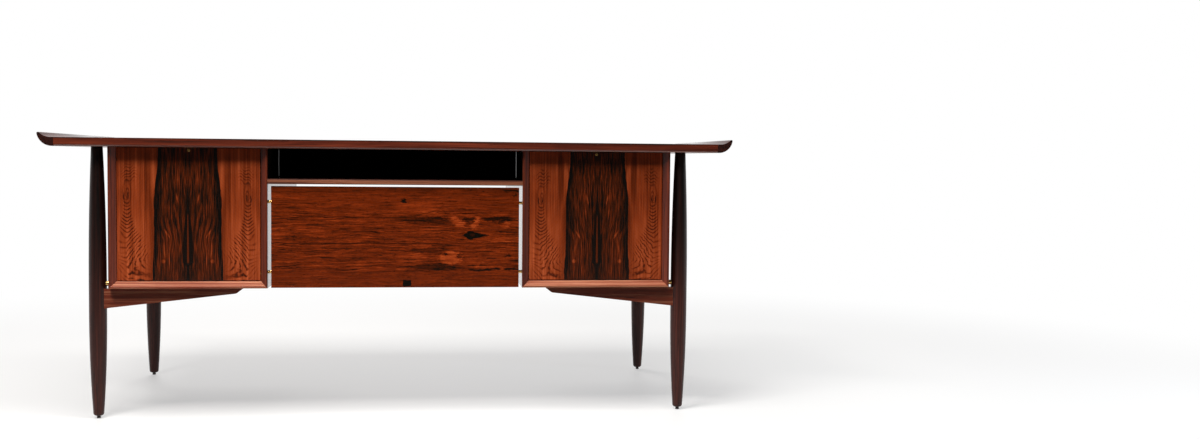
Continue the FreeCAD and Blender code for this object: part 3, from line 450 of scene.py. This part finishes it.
# modesty panel: grain along the desk, a black knot with pale wings over it
panelSpec = dict(
    woodSpec, tones=panelTones, dull=0.27, level=0.14,
    ragged=(2, 13, 6, 4, 0.62), raggedShift=46, raggedDark=0.35,
    jog=(7, 18, 7, 4, 0.62), jogShift=24, jogBend=5, slow=(0, 150, 45), slowBend=20,
    bands=(0, 170, 9, 4, 0.65), bandDark=0.8, fine=(6, 60, 3.4, 4, 0.7), fineDark=1.15,
    lines=(4, 80, 3.2, 3, 0.7), lineEdge=(0.05, 0.11), lineDark=0.34,
    flecks=(9, 9, 2.8), fleckEdge=(0.12, 0.18), fleckDark=0.2,
    calm=(1, (540, 556, -0.45), (390, 380, -0.5)), ground=(0.465, (580, 600, 0.08)),
    raggedMarks=[(-0.297, (160, 516), (24, 10), 2.6, 0.2), (-0.297, (209, 515), (20, 8), 1.0, 0.2),
                 (-0.108, (58, 550), (62, 16), 0.06), (-0.324, (142, 421), (32, 17), 0, 0.2),
                 (-0.135, (46, 418), (40, 17)), (-0.189, (288, 510), (12, 11)),
                 (-0.243, (214, 402), (9, 4)), (-0.135, (235, 590), (14, 4)),
                 (0.3, (192, 523), (15, 7), 0, 0.2), (0.42, (130, 430), (5, 5)), (0.42, (165, 426), (4, 7)),
                 (0.3, (295, 427), (8, 5)), (0.3, (315, 589), (6, 6)), (0.15, (90, 440), (60, 5))],
    longMarks=[(-0.162, (280, 468), (60, 5), 0.05), (0.33, (268, 524), (44, 6), 0, 0.3),
               (0.3, (80, 520), (75, 9), -0.04), (0.27, (92, 396), (72, 7))],
    curlLong=30, curlSeed=1.5, holes=[(1, (17, 572), (7, 7))],
    cracks=[dict(height=(389,), reach=6.4, curl=14, jog=10,
                 dark=(0, (178, 196, 1), (270, 280, -0.7), (280, 290, 0.7))),
            dict(height=(459,), reach=2.6, curl=8, jog=0, dark=(0.68, (130, 60, 0.3))),
            dict(height=(528, (18, 117, 18)), reach=2.2, curl=5, jog=0, dark=(0, (118, 100, 0.85))),
            dict(height=(599,), reach=6.4, curl=10, jog=10,
                 dark=(0, (270, 284, 1), (216, 228, 0.8), (228, 240, -0.8)))],
    patch=dict(middle=(28, 353), half=(11, 9), ragged=0.6, edge=(1.12, 0.88)),
    knot=dict(middle=(194, 481), leftTail=22, rightTail=47, tailSoft=2, high=12, ragged=0.9,
              edge=(1.04, 0.92), partAcross=(90, 10), partUp=(60, 4), part=9,
              core=(200, 482), coreRadii=(7, 4), coreDark=0.86))


def panelVeneer(spec):
    material = newMaterial("rosewoodPanel")
    x, y, z = spots(material.node_tree)
    ragged = figure(x, z, 0, *spec["ragged"])
    jog = figure(x, z, 0, *spec["jog"])
    knot = spec["knot"]
    run = x - knot["middle"][0]
    rise = z - knot["middle"][1]
    part = fade(size(run), *knot["partAcross"]) * fade(size(rise), *knot["partUp"])
    height = z + figure(x, z, 0, *spec["slow"]) * spec["slowBend"] + jog * spec["jogBend"]
    height = height - sums("SIGN", rise) * part * knot["part"]  # the grain parts round the knot
    lines = fade(figure(x, height, 0, *spec["lines"]), *spec["lineEdge"])
    flecks = fade(figure(x, z, 0, *spec["flecks"]), *spec["fleckEdge"])
    grain = figure(x, height, 0, *spec["bands"]) * spec["bandDark"] + lines * spec["lineDark"]
    grain = grain + figure(x, height, 0, *spec["fine"]) * spec["fineDark"] + ragged * spec["raggedDark"]
    dark = grain * graded(z, *spec["calm"]) + flecks * spec["fleckDark"] + graded(z, *spec["ground"])

    across = x + ragged * spec["raggedShift"]
    up = z + jog * spec["jogShift"]
    dark = dark + marks(across, up, spec["raggedMarks"]) + marks(x, up, spec["longMarks"])
    curl = noise(x / spec["curlLong"], spec["curlSeed"], detail=3)
    black = marks(across, up, spec["holes"])
    for crack in spec["cracks"]:
        level = z - curl * crack["curl"] + jog * crack["jog"]
        black = black + bell(level, graded(x, *crack["height"]), crack["reach"]) * graded(x, *crack["dark"])
    patch = spec["patch"]
    beside, over = [size(value - middle) / half
                    for value, middle, half in zip((x, z), patch["middle"], patch["half"])]
    square = sums("MAXIMUM", beside, over) + ragged * patch["ragged"]
    dark = sums("MAXIMUM", dark, black + fade(square, *patch["edge"]))

    tail = blend(fade(run, -knot["tailSoft"], knot["tailSoft"]), knot["leftTail"], knot["rightTail"])
    diamond = size(run) / tail + size(rise) / knot["high"] + ragged * knot["ragged"]
    dark = blend(fade(diamond, *knot["edge"]), dark, 1)
    dark = blend(blob(x, z, knot["core"], knot["coreRadii"]), dark, knot["coreDark"])
    fibre, pores = fibres(x, z, y, spec)
    return oilWood(material, dark, fibre, pores, spec)


turnedSpec = {"patchWide": 6, "patchEdge": (-0.05, 0.25), "patchDull": 0.2, "markWide": 0.5, "bump": 0.12,
              "bumpDeep": 0.0001}
metalSpecs = {"brass": dict(turnedSpec, tone=(206, 168, 104), tarnish=(150, 112, 66), dull=0.24),
              "bronze": dict(turnedSpec, tone=(136, 102, 54), tarnish=(84, 60, 34), dull=0.3),
              "steel": dict(turnedSpec, tone=(190, 190, 188), tarnish=(120, 120, 120), dull=0.28),
              "darkSteel": dict(turnedSpec, tone=(74, 70, 68), tarnish=(40, 37, 36), dull=0.34)}


def turnedMetal(name, spec):  # fine turning marks and a little tarnish
    material = newMaterial(name)
    tree = material.node_tree
    x, y, z = spots(tree)
    wide = spec["patchWide"]
    tarnish = noise(x / wide, y / wide, z / wide, detail=4)
    wide = spec["markWide"]
    turning = noise(x / wide, y / wide, z / wide, detail=1)
    colour = ramp(fade(tarnish, *spec["patchEdge"]), [(0.0, spec["tone"]), (1.0, spec["tarnish"])])
    bump = addNode(tree, "Bump", {"Strength": spec["bump"], "Distance": spec["bumpDeep"], "Height": turning})
    shader = addNode(tree, "BsdfPrincipled", {
        "Base Color": colour, "Metallic": 1.0, "Roughness": tarnish * spec["patchDull"] + spec["dull"],
        "Normal": Wire(tree, bump.outputs[0])})
    return shade(material, shader.outputs[0])


materials = {  # by the slots of the CAD pieces
    "rosewood_top": topVeneer(topSpec),
    "rosewood_edge": edgeWood(edgeSpec),
    "rosewood_side": straightWood("rosewoodSide", 2, sideSpec),
    "rosewood_strip": stripWood(stripSpec),
    "rosewood_flap": flapVeneer(flapSpec),
    "rosewood_panel": panelVeneer(panelSpec),
    "rosewood_drawer": straightWood("rosewoodDrawer", 0, drawerSpec),
    "mahogany": straightWood("mahogany", 0, mahoganySpec),
    "beech": straightWood("beech", 1, beechSpec),
    "black_stain": straightWood("blackStain", 0, blackSpec),
}
materials.update({name: turnedMetal(name, spec) for name, spec in metalSpecs.items()})
ownFinish = {  # pieces that share a slot but not the finish, by the start or end of their names
    "leg_glides": materials["darkSteel"],
    "leg_spacers": materials["brass"],
    "leg_": legWood(legSpec),
    "arm_spacers": materials["brass"],
    "arm_": straightWood("rosewoodArm", 0, armSpec),
    "top_lip": lipWood(lipSpec),
    "kneehole_shelf": shelfWood(shelfSpec),
    "inner_side": innerWood(innerSpec),
    "drawer_box": boxWood(boxSpec),
    "lock_barrel": materials["bronze"],
}
print("materials made:", len(bpy.data.materials))


def finishOf(name, slot):
    for mark, material in ownFinish.items():
        if name.startswith(mark) or name.endswith(mark):
            return material
    return materials[slot]


easedEdge = {"weld": 0.00002, "width": 0.0006, "angle": 0.6, "steps": 2}


def easeEdges(piece, spec):  # sanded arrises catch the light
    weld = piece.modifiers.new("weld", "WELD")
    weld.merge_threshold = spec["weld"]
    bevel = piece.modifiers.new("easedEdges", "BEVEL")
    bevel.width = spec["width"]
    bevel.segments = spec["steps"]
    bevel.limit_method = "ANGLE"
    bevel.angle_limit = spec["angle"]
    bevel.harden_normals = True


for name, node in nodes.items():
    slot = node.material_slots[0].material.name.split(".")[0]
    node.material_slots[0].material = finishOf(name, slot)
    if slot not in metalSpecs:
        easeEdges(node, easedEdge)
print("pieces dressed")


# stage: a white sweep behind the desk, dim behind the viewer
white = (1, 1, 1, 1)
viewerDim = 0.92
floorSpec = {"reach": 11, "sides": 96, "pale": (236, 235, 234), "bounce": (96, 94, 92), "rough": 0.5,
             "level": 0.3, "veil": 0.45, "veilEdge": (1.0, 3.4), "dusk": (-1.4, -3.6)}
skySpec = {"tone": (0.94, 0.97, 1.0, 1), "strength": 0.05, "dusk": (0.1, -0.6)}


def seenDirectly(tree):  # camera, mirror and glass rays, and the last two by themselves
    path = addNode(tree, "LightPath", {})
    camera, glossy, glass = [Wire(tree, path.outputs[kind])
                             for kind in ("Is Camera Ray", "Is Glossy Ray", "Is Transmission Ray")]
    mirrored = sums("MAXIMUM", glossy, glass)
    return sums("MAXIMUM", camera, mirrored), mirrored


def whiteness(mirrored, along, spec):  # white, but dimmer in reflections of the viewer's side
    return 1 - mirrored * fade(along, *spec["dusk"]) * viewerDim


def mixShaders(tree, amount, first, second):
    inputs = {0: amount, 1: Wire(tree, first.outputs[0]), 2: Wire(tree, second.outputs[0])}
    return addNode(tree, "MixShader", inputs).outputs[0]


def makeFloor(spec):
    mesh = bpy.data.meshes.new("floor")
    shape = bmesh.new()
    bmesh.ops.create_circle(shape, cap_ends=True, segments=spec["sides"], radius=spec["reach"])
    shape.to_mesh(mesh)
    shape.free()
    floor = bpy.data.objects.new("floor", mesh)
    scene.collection.objects.link(floor)

    material = newMaterial("paleFloor")
    tree = material.node_tree
    x, y, z = spots(tree)
    shown, mirrored = seenDirectly(tree)
    tones = {0: shown, 6: paint(*spec["bounce"]), 7: paint(*spec["pale"])}  # 6 and 7 are the colour sockets
    colour = addNode(tree, "Mix", tones, data_type="RGBA")
    ground = addNode(tree, "BsdfPrincipled", {
        "Base Color": Wire(tree, colour.outputs[2]), "Roughness": spec["rough"],
        "Specular IOR Level": spec["level"]})
    glow = addNode(tree, "Emission", {"Color": white, "Strength": whiteness(mirrored, y / perMetre, spec)})
    away = sums("SQRT", x * x + y * y) / perMetre
    amount = blend(fade(away, *spec["veilEdge"]), spec["veil"], 1) * shown
    mesh.materials.append(shade(material, mixShaders(tree, amount, ground, glow)))


def makeSky(spec):
    world = bpy.data.worlds.new("studio")
    scene.world = world
    world.use_nodes = True
    tree = world.node_tree
    tree.nodes.clear()
    dim = addNode(tree, "Background", {"Color": spec["tone"], "Strength": spec["strength"]})
    shown, mirrored = seenDirectly(tree)
    gaze = addNode(tree, "SeparateXYZ", {0: Wire(tree, addNode(tree, "TexCoord", {}).outputs["Generated"])})
    strength = whiteness(mirrored, Wire(tree, gaze.outputs["Y"]), spec)
    bright = addNode(tree, "Background", {"Color": white, "Strength": strength})
    addNode(tree, "OutputWorld", {"Surface": Wire(tree, mixShaders(tree, shown, dim, bright))})


lampSpecs = {
    "keyLamp": {"spot": (-1.1, -1.98, 2.9), "aim": (0.2, -0.38, 0.6), "size": (1.4, 0.22), "power": 78,
                "tone": (1.0, 0.98, 0.95), "mirrored": True},
    "ceilingLamp": {"spot": (0.1, -1.05, 3.0), "aim": (0.1, -0.75, 0.5), "size": (2.6, 1.0), "power": 84,
                    "tone": (1.0, 0.99, 0.97), "mirrored": False},
    "windowLamp": {"spot": (3.0, -0.75, 0.85), "aim": (0.76, -0.35, 0.45), "size": (0.5, 1.3), "power": 16,
                   "tone": (0.8, 0.9, 1.0), "mirrored": False},
    "backLamp": {"spot": (-0.9, 3.2, 2.6), "aim": (0, 0.2, 0.5), "size": (1.8, 1.8), "power": 75,
                 "tone": (1.0, 0.98, 0.96), "mirrored": False},
}


def makeLamps(specs):
    for name, spec in specs.items():
        data = bpy.data.lights.new(name, "AREA")
        data.shape = "RECTANGLE"
        data.size, data.size_y = spec["size"]
        data.energy = spec["power"]
        data.color = spec["tone"]
        lamp = bpy.data.objects.new(name, data)
        lamp.location = spec["spot"]
        lamp.visible_glossy = spec["mirrored"]
        aim = Vector(spec["aim"]) - Vector(spec["spot"])
        lamp.rotation_euler = aim.to_track_quat("-Z", "Y").to_euler()
        scene.collection.objects.link(lamp)


cameraSpec = {"spot": (0.0816, -3.851, 0.683), "yaw": 0.1319, "pitch": -0.0452, "roll": 0.0097,
              "focalPixels": 1300, "imageWide": 1200, "sensor": 36}


def makeCamera(spec):
    data = bpy.data.cameras.new("camera")
    data.sensor_width = spec["sensor"]
    data.lens = spec["sensor"] * spec["focalPixels"] / spec["imageWide"]
    camera = bpy.data.objects.new("camera", data)
    yaw, pitch, roll = spec["yaw"], spec["pitch"], spec["roll"]
    ahead = Vector((sin(yaw) * cos(pitch), cos(yaw) * cos(pitch), sin(pitch)))
    level = ahead.cross(Vector((0, 0, 1))).normalized()
    plumb = ahead.cross(level)
    right = level * cos(roll) - plumb * sin(roll)
    down = level * sin(roll) + plumb * cos(roll)
    turn = Matrix((right, -down, -ahead)).transposed().to_4x4()
    camera.matrix_world = Matrix.Translation(spec["spot"]) @ turn
    scene.collection.objects.link(camera)
    scene.camera = camera


makeFloor(floorSpec)
makeSky(skySpec)
makeLamps(lampSpecs)
makeCamera(cameraSpec)
print("stage set")
